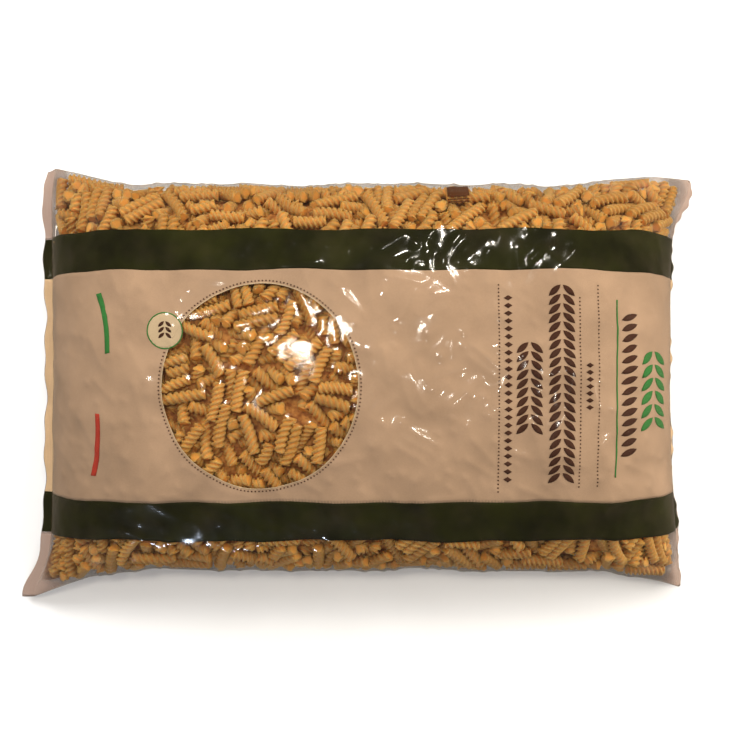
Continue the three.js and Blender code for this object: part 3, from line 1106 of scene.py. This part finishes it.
def core_piece(form, material):
    """The pasta deeper in, which only shows between the spirals."""
    rows = np.arange(0, len(form.along), CORE_STEP)
    cols = np.arange(0, len(form.around), CORE_STEP)
    middle = np.array([0, 0, FILL_HEIGHT * CORE_LEVEL])
    points = (form.points[np.ix_(rows, cols)] - middle) * CORE_SHARES + middle
    faces = grid_faces(len(rows), len(cols)).tolist()
    last = len(rows) * len(cols)
    faces += [list(range(len(cols))), list(range(last - 1, last - len(cols) - 1, -1))]
    new_piece("pasta_core", points.reshape(-1, 3), faces, material)


# The studio.

CAMERA_HEIGHT = 850.0  # above the floor
PIXEL_SIZE = 0.86  # millimetres a pixel at the level below
PIXEL_LEVEL = 48.0
FRAME_PIXELS = 752
ORIGIN_PIXEL = (356.5, 384.0)
SENSOR_WIDTH = 36.0
FLOOR_HALF = 20000.0
FLOOR_GAP = 0.3
SKY_TINT = (1, 0.88, 0.72, 1)
SKY_STRENGTH = 0.19
# Each large lamp: its place, its aim, its size in metres, its power and its tint.
LAMPS = {
    "key": ((1.6, 1.0, 0.9), (0, 0, 0), 2.4, 72, (1, 0.97, 0.93)),
    "fill": ((-1.0, 0.8, 0.9), (0, 0, 0), 0.8, 25, (0.98, 0.98, 1)),
    "side": ((0.85, -0.1, 0.4), (0.25, 0, 0.05), 0.5, 4.2, (1, 0.97, 0.93)),
}
GLINT_REACH = 1.2  # metres from the film
WARM, COOL = (1, 0.93, 0.82), (0.72, 0.82, 1)
# Each glint: its spot on the film, and the size, power and tint of its lamp.
GLINTS = {
    "window": ((-48, 14), 0.14, 4.8, WARM),
    "band_left": ((62, 104), 0.045, 1.9, WARM),
    "band_right": ((153, 94), 0.045, 2.0, WARM),
    "lower_left": ((-172, -142), 0.14, 4.4, COOL),
    "lower_middle": ((-112, -144), 0.08, 2.0, COOL),
    "panel": ((62, 18), 0.035, 0.65, WARM),
    "title": ((196, -14), 0.03, 0.55, WARM),
}


def make_camera():
    """A camera that looks straight down, with the photo's frame and scale."""
    camera = add_object("camera", bpy.data.cameras.new("camera"))
    camera.data.sensor_width = SENSOR_WIDTH
    camera.data.lens = SENSOR_WIDTH * (CAMERA_HEIGHT - PIXEL_LEVEL) / (FRAME_PIXELS * PIXEL_SIZE)
    centre = FRAME_PIXELS / 2
    x = (centre - ORIGIN_PIXEL[0]) * PIXEL_SIZE
    y = (ORIGIN_PIXEL[1] - centre) * PIXEL_SIZE
    camera.location = (x * MM, y * MM, CAMERA_HEIGHT * MM)
    bpy.context.scene.camera = camera


def area_light(name, place, aim, size, power, tint, mirrored=True):
    """A round lamp. One that isn't mirrored leaves no patch of glare on the film."""
    light = bpy.data.lights.new(name, "AREA")
    light.shape = "DISK"
    light.size = size
    light.energy = power
    light.color = tint
    lamp = add_object(name, light)
    lamp.location = place
    lamp.rotation_euler = (Vector(aim) - Vector(place)).to_track_quat("-Z", "Y").to_euler()
    lamp.visible_glossy = mirrored


def glint_lamp(name, form, spot, size, power, tint):
    """A small lamp, placed where the smooth film at a spot mirrors it to the camera."""
    point, normal = form.at(spot)
    point, normal = point * MM, normal / np.linalg.norm(normal)
    view = np.array(bpy.context.scene.camera.location) - point
    view /= np.linalg.norm(view)
    away = 2 * (view @ normal) * normal - view
    area_light(name, (point + away * GLINT_REACH).tolist(), point.tolist(), size, power, tint)


def make_studio(form):
    """The sky, the lamps and the glints."""
    scene = bpy.context.scene
    scene.view_settings.view_transform = "Standard"
    world = bpy.data.worlds.new("studio")
    world.use_nodes = True
    sky = world.node_tree.nodes["Background"].inputs
    sky["Color"].default_value = SKY_TINT
    sky["Strength"].default_value = SKY_STRENGTH
    scene.world = world
    for name, lamp in LAMPS.items():
        area_light(name, *lamp, mirrored=False)
    for name, glint in GLINTS.items():
        glint_lamp(name, form, *glint)


def make_floor():
    """The pale floor, just under the bag."""
    made, tree, shader = new_material("floor", Roughness=0.8)
    drift = noise(tree, size=60)
    tones = ramp(tree, drift, (0.3, scaled(FLOOR_SHADE, 0.98)), (0.7, FLOOR_SHADE))
    tree.links.new(tones, shader.inputs["Base Color"])
    corners = FLOOR_HALF * np.array([(-1, -1, 0), (1, -1, 0), (1, 1, 0), (-1, 1, 0)])
    floor = mesh_object("floor", corners, [(0, 1, 2, 3)], made)
    floor.location.z = -FLOOR_GAP * MM
    floor.visible_glossy = False


make_camera()
form, film, milky, room, spirals = make_film()
make_studio(form)
make_floor()
film_piece(film, milky, film_material())
field_pieces(film)
mark_pieces(film)
spiral_pieces(form, room, spirals, pasta_material())
core_piece(form, core_material())
